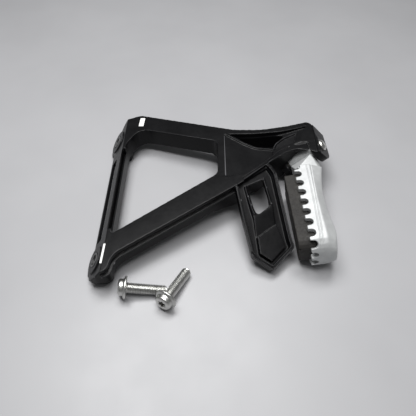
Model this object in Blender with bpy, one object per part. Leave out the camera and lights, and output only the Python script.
"""Folding passenger foot peg on its cast frame bracket, lying inboard side up with the peg folded.

The bracket is a cast frame with a heel guard and a clevis. A cast peg with a rubber tread turns on a
pin in the clevis. Two flange bolts lie loose beside the bracket. Run it with Blender 4.5.
Lengths below are millimetres; new_piece() turns every mesh into metres.
"""
import math

import bmesh
import bpy
from mathutils import Matrix, Vector

MM = 0.001
GAP = 0.3
RUNNING_GAP = 0.1

# Where the assembly sits: the middle of its footprint is the origin, the table is z = 0.
CENTRE_X = 7.3
CENTRE_Y = -2.4

# Bracket frame: u to the hinge, v across, w up from the flat top face.
TOP_HEIGHT = 31.6
FRAME_TILT = math.radians(4.0)
BAR_DEPTH = 17.5
HUB_DEPTH = 28.0
SEAT_ANGLE = math.radians(52.0)
SEAT_EDGE_U = -80.5
SEAT_HOLE_DOWN = 13.8
SEAT_HOLE_V = (-63.5, 71.0)
SEAT_RECESS = 1.2
BOSS_RADIUS = 11.5
BOSS_LENGTH = 9.0
FOOT_DEPTH = 25.0
BOLT_HOLE_RADIUS = 4.3
SLEEVE_RADIUS = 6.0

# Heel guard: its plane starts on the ridge beside the frame and slopes down from it.
RIDGE_START = (22.8, -3.7)
RIDGE_HEADING = math.radians(36.0)
GUARD_SLOPE = math.radians(20.0)
GUARD_THICKNESS = 6.2
GUARD_FLOOR = 3.6

# Hinge: pin centre, direction along the folded peg and along the pin.
PIN_CENTRE = Vector((87.0, 42.0, 22.5))
PEG_DATUM = Vector((85.5, 38.5, 20.6))
PEG_YAW = math.radians(2.3)
PIN_ELEVATION = math.radians(44.0)
PEG_LEAN = math.radians(10.25)
PIN_RADIUS = 4.0
BARREL_RADIUS = 9.5
BARREL_HALF = 11.4
EAR_INNER = 12.9
EAR_OUTER_UPPER = 19.5
EAR_OUTER_LOWER = 18.8
EAR_TIP = 13.0
EAR_BACK = -24.0
EAR_ABOVE = 2.2
OUTBOARD_FACE = 12.8
DETENT_DEPTH = 16.5

# Peg: l along the peg from its datum, w to the upper flank, n to the tread.
PEG_START = 21.0
PEG_END = 104.0
PEG_HALF_WIDTH = 18.0
PEG_CORNER = 13.0
PEG_WALL = 4.4
TOOTH_TIP = 10.8
FLANK_FOOT = -2.2
BELLY_HALF_WIDTH = 12.0
POCKET_FLOOR = 0.0
TOOTH_PITCH = 10.0
FIRST_TOOTH = 26.0
GULLET_RADIUS = 3.1
GULLET_DEPTH = 5.4
RUBBER_TOP = 19.5
SCREW_STATIONS = (44.0, 82.0)

# Flange bolt, thread size M8.
BOLT_RADIUS = 4.0
BOLT_LENGTH = 30.0
BOLT_FLANGE_RADIUS = 8.75
BOLT_CAP_RADIUS = 6.4
BOLT_HEAD_HEIGHT = 6.2


def clear_scene():
    for item in list(bpy.data.objects):
        bpy.data.objects.remove(item, do_unlink=True)


def material(name, colour, roughness, metallic):
    """A plain Principled material with one colour."""
    made = bpy.data.materials.new(name)
    made.use_nodes = True
    shader = made.node_tree.nodes["Principled BSDF"]
    shader.inputs["Base Color"].default_value = (*colour, 1.0)
    shader.inputs["Roughness"].default_value = roughness
    shader.inputs["Metallic"].default_value = metallic
    return made


def new_empty(name, matrix, parent=None):
    """An empty whose local frame is `matrix`, in metres."""
    empty = bpy.data.objects.new(name, None)
    bpy.context.collection.objects.link(empty)
    empty.parent = parent
    empty.matrix_local = matrix
    return empty


def new_piece(name, bm, parent, finish=None, smooth=35.0):
    """Closes a mesh drawn in millimetres into an object under `parent`."""
    bm.transform(Matrix.Scale(MM, 4))
    bmesh.ops.recalc_face_normals(bm, faces=bm.faces)
    mesh = bpy.data.meshes.new(name)
    bm.to_mesh(mesh)
    bm.free()
    if finish is not None:
        mesh.materials.append(finish)
    mesh.shade_smooth()
    mesh.set_sharp_from_angle(angle=math.radians(smooth))
    piece = bpy.data.objects.new(name, mesh)
    bpy.context.collection.objects.link(piece)
    piece.parent = parent
    return piece


def tool(piece):
    """Marks an object that only cuts or joins another one."""
    piece.hide_render = True
    piece.display_type = "WIRE"
    return piece


def combine(piece, other, operation):
    change = piece.modifiers.new(operation.lower() + "_" + other.name, "BOOLEAN")
    change.operation = operation
    change.object = tool(other)
    change.solver = "EXACT"


def cut(piece, *others):
    for other in others:
        combine(piece, other, "DIFFERENCE")


def join(piece, *others):
    for other in others:
        combine(piece, other, "UNION")


def rounded(corners, steps=4):
    """An outline from (x, y, radius) corners, each radius drawn as an arc."""
    points = []
    count = len(corners)
    for index, (x, y, radius) in enumerate(corners):
        here = Vector((x, y))
        if radius <= 0.0:
            points.append(here)
            continue
        before = Vector(corners[index - 1][:2]) - here
        after = Vector(corners[(index + 1) % count][:2]) - here
        before.normalize()
        after.normalize()
        half = before.angle(after) / 2.0
        bisector = (before + after).normalized()
        centre = here + bisector * (radius / math.sin(half))
        start = here + before * (radius / math.tan(half)) - centre
        end = here + after * (radius / math.tan(half)) - centre
        turn = start.angle_signed(end)
        for step in range(steps + 1):
            angle = -turn * step / steps
            points.append(centre + Matrix.Rotation(angle, 2) @ start)
    return points


def prism(outline, low, high):
    """A straight solid on a 2-D outline, from z = low to z = high."""
    bm = bmesh.new()
    face = bm.faces.new([bm.verts.new((point[0], point[1], low)) for point in outline])
    sweep = bmesh.ops.extrude_face_region(bm, geom=[face])
    raised = [item for item in sweep["geom"] if isinstance(item, bmesh.types.BMVert)]
    bmesh.ops.translate(bm, verts=raised, vec=(0.0, 0.0, high - low))
    return bm


def box(low, high):
    corners = [(low[0], low[1]), (high[0], low[1]), (high[0], high[1]), (low[0], high[1])]
    return prism(corners, low[2], high[2])


def turned(profile, steps=24, hollow=False):
    """A solid of revolution about z from (radius, z) points; a hollow one closes onto its first ring."""
    bm = bmesh.new()
    angles = [2.0 * math.pi * step / steps for step in range(steps)]
    rings = []
    for radius, height in profile:
        rings.append([bm.verts.new((radius * math.cos(a), radius * math.sin(a), height)) for a in angles])
    pairs = list(zip(rings, rings[1:]))
    if hollow:
        pairs.append((rings[-1], rings[0]))
    else:
        bm.faces.new(rings[0])
        bm.faces.new(rings[-1])
    for lower, upper in pairs:
        for step in range(steps):
            after = (step + 1) % steps
            bm.faces.new([lower[step], lower[after], upper[after], upper[step]])
    return bm


def rod(radius, low, high, steps=24):
    return turned([(radius, low), (radius, high)], steps)


def tube(outer, inner, low, high, steps=24):
    return turned([(inner, low), (outer, low), (outer, high), (inner, high)], steps, hollow=True)


def moved(bm, matrix):
    bm.transform(matrix)
    return bm


def loft(sections):
    """A solid through closed sections that all have the same number of 3-D points."""
    bm = bmesh.new()
    rings = [[bm.verts.new(point) for point in section] for section in sections]
    count = len(rings[0])
    for lower, upper in zip(rings, rings[1:]):
        for index in range(count):
            after = (index + 1) % count
            bm.faces.new([lower[index], lower[after], upper[after], upper[index]])
    bm.faces.new(rings[0])
    bm.faces.new(rings[-1])
    return bm


def hull(points):
    """The convex solid round a set of points."""
    bm = bmesh.new()
    for point in points:
        bm.verts.new(point)
    made = bmesh.ops.convex_hull(bm, input=bm.verts)
    loose = [item for item in made["geom_interior"] if isinstance(item, bmesh.types.BMVert)]
    bmesh.ops.delete(bm, geom=loose, context="VERTS")
    bmesh.ops.dissolve_limit(bm, angle_limit=math.radians(0.5), verts=bm.verts, edges=bm.edges)
    return bm


def frame_of(x_axis, y_axis, z_axis, origin):
    """A 4x4 frame, in metres, from three axes and an origin in millimetres."""
    turn = Matrix((x_axis, y_axis, z_axis)).transposed().to_4x4()
    return Matrix.Translation(Vector(origin) * MM) @ turn


def seat_frame(v):
    """The frame of one mounting seat: z out of the seat, y along the frame, x up the slope."""
    up = Vector((math.cos(SEAT_ANGLE), 0.0, math.sin(SEAT_ANGLE)))
    out = Vector((-math.sin(SEAT_ANGLE), 0.0, math.cos(SEAT_ANGLE)))
    centre = Vector((SEAT_EDGE_U, v, 0.0)) - up * SEAT_HOLE_DOWN
    turn = Matrix((up, out.cross(up), out)).transposed().to_4x4()
    return Matrix.Translation(centre) @ turn


# --- bracket casting -------------------------------------------------------------------------

def frame_outline():
    """Outside of the open frame, from the lower seat round to the upper one."""
    return rounded([
        (-97.0, -81.0, 12.0), (-74.5, -80.5, 6.0), (-71.5, -65.5, 14.0), (30.0, 1.7, 0.0), (30.0, 66.0, 0.0),
        (24.0, 67.4, 0.0), (-66.5, 96.0, 9.0), (-84.0, 89.5, 9.0), (-97.0, 62.0, 20.0)])


def foot_outline(v):
    """The deep block of one seat in plan, round on the side that meets the vehicle."""
    return rounded([(-97.0, v - 13.4, 10.0), (-75.5, v - 13.4, 5.0), (-75.5, v + 11.6, 5.0), (-97.0, v + 11.6, 10.0)])


def opening_outline():
    """The triangular opening of the frame."""
    return rounded([
        (-76.5, -47.6, 2.0), (8.4, 12.4, 8.0), (8.4, 53.0, 7.0), (-65.5, 75.9, 12.0), (-76.5, 56.0, 14.0)])


def hub_outline():
    """The deep end of the casting that carries the clevis."""
    return rounded([
        (4.0, -15.5, 0.0), (22.3, -3.4, 0.0), (52.0, 22.0, 12.0), (70.0, 34.0, 12.0), (84.0, 40.5, 0.0),
        (101.0, 45.0, 2.0), (95.2, 73.5, 5.0), (73.0, 68.4, 30.0), (49.0, 65.2, 60.0), (24.0, 67.4, 30.0),
        (4.0, 73.7, 0.0)])


def ramp_outline():
    """The shallow pocket between the frame's top face and the clevis."""
    return rounded([
        (15.0, 8.0, 2.0), (26.0, 3.5, 3.0), (51.5, 26.0, 8.0), (68.0, 37.0, 8.0), (89.0, 47.0, 3.0),
        (88.0, 66.0, 3.0), (66.0, 62.5, 20.0), (45.0, 60.2, 20.0), (15.0, 63.5, 2.0)])


def deep_pocket_outline():
    """The deep pocket behind the curved rib, under the far edge of the hub."""
    return rounded([
        (19.5, 60.3, 1.0), (29.5, 51.0, 10.0), (42.0, 42.5, 12.0), (58.0, 39.5, 5.0), (69.0, 48.5, 5.0),
        (79.0, 61.6, 2.0), (66.0, 60.5, 20.0), (45.0, 58.6, 20.0)])


def guard_outline():
    """The heel guard in its own plane: s along the ridge, y up the slope."""
    return rounded([
        (0.0, 6.0, 0.0), (0.0, 0.0, 0.0), (-12.9, -28.0, 60.0), (-21.5, -48.6, 30.0), (-24.9, -55.5, 4.0),
        (-17.6, -73.6, 3.0), (9.1, -68.6, 4.0), (11.7, -61.0, 20.0), (38.6, -8.0, 10.0), (39.1, 6.0, 0.0)])


def tray_outline():
    """The same outline moved inwards by the rim."""
    return rounded([
        (3.0, 6.0, 0.0), (3.0, -1.0, 0.0), (-10.0, -29.5, 60.0), (-18.6, -49.8, 30.0), (-21.7, -56.0, 3.0),
        (-15.7, -70.4, 2.0), (6.9, -66.2, 3.0), (9.0, -60.4, 20.0), (35.6, -8.0, 10.0), (36.1, 6.0, 0.0)])


def window_outline():
    return rounded([
        (9.7, -3.9, 1.5), (2.4, -23.7, 8.0), (1.3, -30.0, 2.5), (15.0, -28.9, 3.0), (17.9, -24.4, 3.0),
        (25.5, -6.5, 2.0)])


def plateau_outline():
    return rounded([
        (-11.1, -45.0, 0.8), (-17.7, -57.0, 0.8), (-13.7, -67.0, 0.8), (3.8, -63.8, 0.8), (9.2, -44.3, 0.8)])


def ear_outline():
    """One ear of the clevis, seen along the pin."""
    return rounded([
        (EAR_BACK, -EAR_TIP, 0.0), (EAR_TIP, -EAR_TIP, EAR_TIP - 1.0), (EAR_TIP, EAR_TIP - 0.5, EAR_TIP - 1.0),
        (EAR_BACK, EAR_TIP - 0.5, 0.0)], 8)


def make_bracket(frame, guard, hinge, finish):
    """The one-piece casting: frame, seats, hub, clevis ears and heel guard."""
    casting = new_piece("bracket_casting", prism(frame_outline(), -BAR_DEPTH, 0.0), frame, finish)
    hub = new_piece("hub_block", prism(hub_outline(), -HUB_DEPTH, 0.0), frame)
    opening = new_piece("frame_opening", prism(opening_outline(), -60.0, 20.0), frame)
    slope_box = box((-60.0, -120.0, -SEAT_RECESS), (40.0, 120.0, 40.0))
    slope = new_piece("seat_slope", moved(slope_box, seat_frame(0.0)), frame)
    join(casting, hub)
    cut(casting, opening, slope)
    add_seats(casting, frame)
    ramp_turn = Matrix.Translation((15.0, 0.0, 0.0)) @ Matrix.Rotation(math.radians(9.0), 4, "Y")
    ramp = prism([(point.x - 15.0, point.y) for point in ramp_outline()], 0.0, 30.0)
    deep = prism(deep_pocket_outline(), -HUB_DEPTH + 5.0, 10.0)
    cut(casting, new_piece("ramp_pocket", moved(ramp, ramp_turn), frame), new_piece("deep_pocket", deep, frame))
    add_guard(casting, guard, frame)
    add_clevis(casting, hinge, frame)
    return casting


def add_seats(casting, frame):
    """Two seats on the sloping side, each a deep foot with a raised round face, and the grooves between."""
    for index, v in enumerate(SEAT_HOLE_V):
        place = seat_frame(v)
        foot = new_piece("seat_foot_%d" % index, prism(foot_outline(v), -FOOT_DEPTH, -4.0), frame)
        trim = box((-60.0, -40.0, -SEAT_RECESS - 0.2), (60.0, 40.0, 40.0))
        cut(foot, new_piece("foot_trim_%d" % index, moved(trim, place), frame))
        boss = rod(BOSS_RADIUS, -BOSS_LENGTH, 0.0, 28)
        bore = rod(SLEEVE_RADIUS + GAP, -60.0, 40.0, 24)
        join(casting, foot, new_piece("seat_boss_%d" % index, moved(boss, place), frame))
        cut(casting, new_piece("seat_bore_%d" % index, moved(bore, place), frame))
    channel = box((-5.0, -46.0, -5.2), (4.0, 44.0, 10.0))
    cut(casting, new_piece("side_channel", moved(channel, seat_frame(0.0)), frame))
    cut(casting, new_piece("inner_ledge", box((-78.9, -42.0, -5.0), (-60.0, 50.0, 5.0)), frame))
    cut(casting, new_piece("valley_groove", box((-79.0, -41.8, -8.5), (-76.7, 49.8, 5.0)), frame))


def add_guard(casting, guard, frame):
    """Heel guard: a rimmed tray with a window and a raised pad, clipped level with the frame."""
    plate = new_piece("guard_plate", prism(guard_outline(), -GUARD_THICKNESS, 0.0), guard)
    tray = prism(tray_outline(), -GUARD_FLOOR, 20.0)
    cut(plate, new_piece("guard_tray", tray, guard))
    cut(plate, new_piece("guard_clip", box((0.0, -20.0, -0.6), (90.0, 60.0, 30.0)), frame))
    join(casting, plate)
    window = prism(window_outline(), -30.0, 0.5)
    cut(casting, new_piece("guard_window", window, guard))
    pad = prism(plateau_outline(), -GUARD_THICKNESS + 0.5, -GUARD_FLOOR + 2.2)
    join(casting, new_piece("guard_pad", pad, guard))


def add_clevis(casting, hinge, frame):
    """Two ears across the pin, with the room that the turning peg needs between and below them."""
    upper = new_piece("ear_upper", prism(ear_outline(), EAR_INNER - 0.8, EAR_OUTER_UPPER + 0.8), hinge)
    lower = new_piece("ear_lower", prism(ear_outline(), -EAR_OUTER_LOWER, 0.8 - EAR_INNER), hinge)
    cut(upper, new_piece("ear_top_cut", box((40.0, -20.0, EAR_ABOVE), (160.0, 120.0, 60.0)), frame))
    join(casting, upper, lower)
    slot = box((-10.8, -10.6, -EAR_INNER), (70.0, 70.0, EAR_INNER))
    outboard = box((-45.0, OUTBOARD_FACE, -60.0), (60.0, 80.0, 60.0))
    above = box((-50.0, -20.0, EAR_OUTER_UPPER), (60.0, 60.0, 60.0))
    pin_end = rod(8.0, -60.0, -EAR_OUTER_LOWER - 0.1, 20)
    bore = rod(PIN_RADIUS + GAP, -60.0, 60.0, 24)
    inwards = Matrix.Translation((-10.0, 2.5, 0.0)) @ Matrix.Rotation(-math.pi / 2.0, 4, "Y")
    detent = moved(rod(3.3, 0.0, DETENT_DEPTH, 16), inwards)
    cut(casting, new_piece("clevis_slot", slot, hinge), new_piece("outboard_cut", outboard, hinge))
    cut(casting, new_piece("upper_face_cut", above, hinge), new_piece("pin_end_room", pin_end, hinge))
    cut(casting, new_piece("pin_bore", bore, hinge), new_piece("detent_bore", detent, hinge))


# --- peg -------------------------------------------------------------------------------------

def belly_depth(l):
    """Depth of the peg's underside: deep at the hinge, thin in the middle, full near the end."""
    along = (l - PEG_START) / (PEG_END - PEG_START)
    return -8.2 - 5.6 * max(0.0, 1.0 - along / 0.42) ** 1.6 - 2.0 * math.exp(-((along - 0.80) / 0.14) ** 2)


def half_width(l, inset=0.0):
    """Half of the peg's width, with round corners at its outer end."""
    corner = PEG_CORNER - inset
    over = max(0.0, l - (PEG_END - PEG_CORNER))
    return PEG_HALF_WIDTH - PEG_CORNER + math.sqrt(max(corner ** 2 - over ** 2, 0.0))


def peg_stations(start, end, corner):
    """Positions along the peg: even steps, then close ones round the end corner."""
    straight_end = end - corner
    steps = 9
    stations = [start + (straight_end - start) * step / steps for step in range(steps + 1)]
    stations += [straight_end + corner * math.sin(math.radians(angle)) for angle in (25, 45, 60, 75, 90)]
    return stations


def peg_section(l):
    width = half_width(l)
    foot = width * BELLY_HALF_WIDTH / PEG_HALF_WIDTH
    return [(l, width, TOOTH_TIP), (l, -width, TOOTH_TIP), (l, -width, FLANK_FOOT), (l, -foot, belly_depth(l)),
            (l, foot, belly_depth(l)), (l, width, FLANK_FOOT)]


def pocket_outline(inset, start):
    """The tread pocket in plan: straight sides, and round corners at the outer end."""
    width = PEG_HALF_WIDTH - inset
    end = PEG_END - inset
    radius = PEG_CORNER - inset
    return rounded([(start, -width, 2.0), (end, -width, radius), (end, width, radius), (start, width, 2.0)])


def gullet(floor, radius, low, high):
    """A round-bottomed notch cutter lying along y, open upwards from z = floor."""
    arc = [math.radians(180.0 + 22.5 * step) for step in range(9)]
    outline = [(radius * math.cos(a), floor + radius + radius * math.sin(a)) for a in arc]
    outline += [(radius * 1.25, floor + 14.0), (-radius * 1.25, floor + 14.0)]
    return moved(prism(outline, -high, -low), Matrix.Rotation(math.pi / 2.0, 4, "X"))


def gullet_places():
    """Where each notch starts (l, w), which way it runs out, and how far it reaches inwards."""
    places = [(FIRST_TOOTH - 3.4, 0.0, 0.0, -30.0)]
    places += [(FIRST_TOOTH + TOOTH_PITCH * (index + 0.5), 0.0, 0.0, -30.0) for index in range(7)]
    centre_l = PEG_END - PEG_CORNER
    centre_w = PEG_HALF_WIDTH - PEG_CORNER
    places.append((centre_l, centre_w, math.radians(-44.0), 4.0))
    places.append((centre_l, -centre_w, math.radians(-136.0), 4.0))
    places.append((centre_l, 4.9, math.radians(-90.0), 3.0))
    places.append((centre_l, -5.1, math.radians(-90.0), 3.0))
    return places


def make_peg(peg, hinge_to_peg, finish):
    """The cast peg: toothed walls round a tread pocket, a neck and the hinge barrel."""
    stations = peg_stations(PEG_START, PEG_END, PEG_CORNER)
    casting = new_piece("peg_casting", loft([peg_section(l) for l in stations]), peg, finish)
    barrel = moved(rod(BARREL_RADIUS, -BARREL_HALF, BARREL_HALF, 28), hinge_to_peg)
    join(casting, new_piece("peg_neck", neck(hinge_to_peg), peg), new_piece("peg_barrel", barrel, peg))
    pocket = prism(pocket_outline(PEG_WALL, PEG_START + 4.5), POCKET_FLOOR, 40.0)
    cut(casting, new_piece("tread_pocket", pocket, peg))
    for index, (l, w, heading, reach) in enumerate(gullet_places()):
        place = Matrix.Translation((l, w, 0.0)) @ Matrix.Rotation(heading, 4, "Z")
        notch = moved(gullet(TOOTH_TIP - GULLET_DEPTH, GULLET_RADIUS, reach, 30.0), place)
        cut(casting, new_piece("gullet_%d" % index, notch, peg))
    bore = rod(5.3 + GAP, -40.0, 40.0, 24)
    cut(casting, new_piece("barrel_bore", moved(bore, hinge_to_peg), peg))
    for index, l in enumerate(SCREW_STATIONS):
        hole = rod(2.6, -30.0, 5.0, 16)
        seat = rod(5.6, -30.0, -5.2, 18)
        place = Matrix.Translation((l, 0.0, 0.0))
        cut(casting, new_piece("screw_hole_%d" % index, moved(hole, place), peg))
        cut(casting, new_piece("screw_seat_%d" % index, moved(seat, place), peg))
    return casting


def neck(hinge_to_peg):
    """The tapering piece between the hinge barrel and the root of the peg."""
    points = [hinge_to_peg @ Vector((8.8, q, p)) for q in (-6.8, 6.8) for p in (-10.6, 10.6)]
    points += [Vector((PEG_START + 1.5, w, n)) for w, n in ((14.0, 8.5), (-14.0, 8.5), (-9.0, -12.5), (9.0, -12.5))]
    return hull(points)


def make_tread(peg, rubber, steel):
    """Rubber tread, the plate moulded under it, and the two screws that hold it."""
    inset = PEG_WALL + 0.4
    top = prism(pocket_outline(inset, PEG_START + 4.9), 2.5, RUBBER_TOP)
    pad = new_piece("tread_rubber", top, peg, rubber)
    for index, l in enumerate(SCREW_STATIONS):
        hole = moved(rod(3.2, 0.0, 8.5, 12), Matrix.Translation((l, 0.0, 0.0)))
        cut(pad, new_piece("rubber_hole_%d" % index, hole, peg))
    plate = prism(pocket_outline(inset + 0.4, PEG_START + 5.4), POCKET_FLOOR + GAP, 2.2)
    backing = new_piece("tread_backing_plate", plate, peg, steel)
    for index, l in enumerate(SCREW_STATIONS):
        place = Matrix.Translation((l, 0.0, 0.0))
        hole = moved(rod(2.6, -3.0, 4.0, 12), place)
        cut(backing, new_piece("plate_hole_%d" % index, hole, peg))
        screw = turned([(4.0, -8.2), (4.4, -7.6), (4.4, -6.5), (2.2, -6.5), (2.2, 7.6)], 16)
        new_piece("tread_screw_%d" % (index + 1), moved(screw, place), peg, steel)
        washer = tube(5.0, 2.6, -6.2, -5.5, 18)
        new_piece("tread_screw_washer_%d" % (index + 1), moved(washer, place), peg, steel)


# --- hinge hardware --------------------------------------------------------------------------

def make_hinge(hinge, hinge_moving, steel, bronze):
    """Pin with a domed head, its washer and clip, the bushes and thrust washers."""
    head = EAR_OUTER_UPPER + GAP
    tip = -EAR_OUTER_LOWER - 3.6
    groove = -EAR_OUTER_LOWER - 1.5
    pin = turned([
        (PIN_RADIUS - 0.6, tip), (PIN_RADIUS, tip + 0.6), (PIN_RADIUS, groove - 0.9),
        (PIN_RADIUS - 0.8, groove - 0.9), (PIN_RADIUS - 0.8, groove + 0.1), (PIN_RADIUS, groove + 0.1),
        (PIN_RADIUS, head), (5.4, head), (5.4, head + 0.8), (4.5, head + 2.0), (2.6, head + 2.8)], 24)
    new_piece("hinge_pin", pin, hinge, steel)
    new_piece("pin_washer", tube(6.6, PIN_RADIUS + 0.25, -EAR_OUTER_LOWER - 1.1, -EAR_OUTER_LOWER - GAP), hinge, steel)
    clip = new_piece("pin_retaining_clip", tube(6.0, PIN_RADIUS - 0.5, groove - 0.7, groove - 0.1), hinge, steel)
    mouth = box((1.0, -2.2, groove - 2.0), (9.0, 2.2, groove + 2.0))
    cut(clip, new_piece("clip_mouth", mouth, hinge))
    for name, side in (("upper", 1.0), ("lower", -1.0)):
        near, far = 1.5 * side, BARREL_HALF * side
        bush = tube(5.3, PIN_RADIUS + RUNNING_GAP, min(near, far), max(near, far))
        new_piece("hinge_bush_" + name, bush, hinge_moving, bronze)
        near, far = (BARREL_HALF + GAP) * side, (EAR_INNER - GAP) * side
        washer = tube(8.6, PIN_RADIUS + 0.3, min(near, far), max(near, far))
        new_piece("thrust_washer_" + name, washer, hinge_moving, steel)


def helix(radius, wire, low, high, turns, steps, sides=6):
    """A round-wire compression spring about z."""
    total = turns * steps
    sections = []
    for index in range(total + 1):
        angle = 2.0 * math.pi * index / steps
        height = low + (high - low) * index / total
        outward = Vector((math.cos(angle), math.sin(angle), 0.0))
        middle = outward * radius + Vector((0.0, 0.0, height))
        turn = [2.0 * math.pi * side / sides for side in range(sides)]
        sections.append([middle + (outward * math.cos(t) + Vector((0, 0, 1)) * math.sin(t)) * wire for t in turn])
    return loft(sections)


def make_detent(hinge, steel):
    """Ball and spring in the hub that hold the peg folded or down."""
    turn = Matrix.Translation((0.0, 2.5, 0.0)) @ Matrix.Rotation(-math.pi / 2.0, 4, "Y")
    ball = bmesh.new()
    bmesh.ops.create_uvsphere(ball, u_segments=16, v_segments=10, radius=2.9)
    contact = BARREL_RADIUS + 2.9 + GAP
    new_piece("detent_ball", moved(ball, turn @ Matrix.Translation((0.0, 0.0, contact))), hinge, steel)
    spring = helix(2.2, 0.45, contact + 2.9 + 0.8, 10.0 + DETENT_DEPTH - 0.8, 5, 12)
    new_piece("detent_spring", moved(spring, turn), hinge, steel)


# --- bolts and sleeves -----------------------------------------------------------------------

def make_sleeves(frame, steel):
    for index, v in enumerate(SEAT_HOLE_V):
        sleeve = tube(SLEEVE_RADIUS, BOLT_HOLE_RADIUS, -BOSS_LENGTH + 0.4, 0.3)
        new_piece("seat_sleeve_%d" % (index + 1), moved(sleeve, seat_frame(v)), frame, steel)


def make_bolt(name, under_head, heading, root, steel):
    """One M8 flange bolt lying on its flange rim and its tip; `heading` is the way it points."""
    dip = math.asin((BOLT_FLANGE_RADIUS - BOLT_RADIUS) / BOLT_LENGTH)
    place = Matrix.Translation((under_head[0], under_head[1], BOLT_FLANGE_RADIUS * math.cos(dip)))
    place = place @ Matrix.Rotation(heading, 4, "Z") @ Matrix.Rotation(math.pi / 2.0 + dip, 4, "Y")
    head = BOLT_HEAD_HEIGHT
    bolt = turned([
        (BOLT_CAP_RADIUS * 0.72, -head), (BOLT_CAP_RADIUS * 0.94, -head + 0.9),
        (BOLT_CAP_RADIUS, -head + 2.0), (BOLT_CAP_RADIUS, -head + 3.6), (BOLT_FLANGE_RADIUS - 0.3, -1.7),
        (BOLT_FLANGE_RADIUS, -1.2), (BOLT_FLANGE_RADIUS, 0.0), (BOLT_RADIUS, 0.0),
        (BOLT_RADIUS, BOLT_LENGTH - 1.2), (BOLT_RADIUS - 1.1, BOLT_LENGTH)], 28)
    piece = new_piece(name, moved(bolt, place), root, steel)
    recess = rod(2.7, -head - 5.0, -head + 3.0, 12)
    cut(piece, new_piece(name + "_recess", moved(recess, place), root))


def main():
    clear_scene()
    black = material("black_powder_coat", (0.018, 0.018, 0.020), 0.45, 0.0)
    bare = material("cast_aluminium", (0.72, 0.72, 0.70), 0.42, 1.0)
    rubber = material("tread_rubber", (0.035, 0.032, 0.028), 0.75, 0.0)
    steel = material("zinc_steel", (0.60, 0.60, 0.58), 0.35, 1.0)
    bronze = material("bronze_bush", (0.55, 0.38, 0.18), 0.40, 1.0)

    root = new_empty("assembly", Matrix.Translation(Vector((-CENTRE_X, -CENTRE_Y, 0.0)) * MM))
    tilt = Matrix.Translation((0.0, 0.0, TOP_HEIGHT * MM)) @ Matrix.Rotation(-FRAME_TILT, 4, "Y")
    frame = new_empty("bracket_frame", tilt, root)
    ridge = Matrix.Translation(Vector((*RIDGE_START, 0.0)) * MM) @ Matrix.Rotation(RIDGE_HEADING, 4, "Z")
    guard = new_empty("guard_frame", ridge @ Matrix.Rotation(GUARD_SLOPE, 4, "X"), frame)

    along = Vector((math.sin(PEG_YAW), -math.cos(PEG_YAW), 0.0))
    level = Vector((math.cos(PEG_YAW), math.sin(PEG_YAW), 0.0))
    pin_way = level * math.cos(PIN_ELEVATION) + Vector((0.0, 0.0, math.sin(PIN_ELEVATION)))
    flank = level * -math.sin(PEG_LEAN) + Vector((0.0, 0.0, math.cos(PEG_LEAN)))
    pin_frame = frame_of(along, pin_way.cross(along), pin_way, PIN_CENTRE)
    hinge = new_empty("hinge_frame", pin_frame, root)
    hinge_moving = new_empty("peg_hinge", pin_frame, root)
    datum = frame_of(along, flank, along.cross(flank), PEG_DATUM)
    peg = new_empty("peg_frame", datum, root)
    hinge_to_peg = datum.inverted() @ pin_frame
    hinge_to_peg.translation /= MM

    make_bracket(frame, guard, hinge, black)
    make_sleeves(frame, steel)
    make_peg(peg, hinge_to_peg, bare)
    make_tread(peg, rubber, steel)
    make_hinge(hinge, hinge_moving, steel, bronze)
    make_detent(hinge, steel)
    make_bolt("mount_bolt_1", (-61.4, -84.0), 0.0, root, steel)
    make_bolt("mount_bolt_2", (-30.7, -92.9), math.radians(61.0), root, steel)


main()
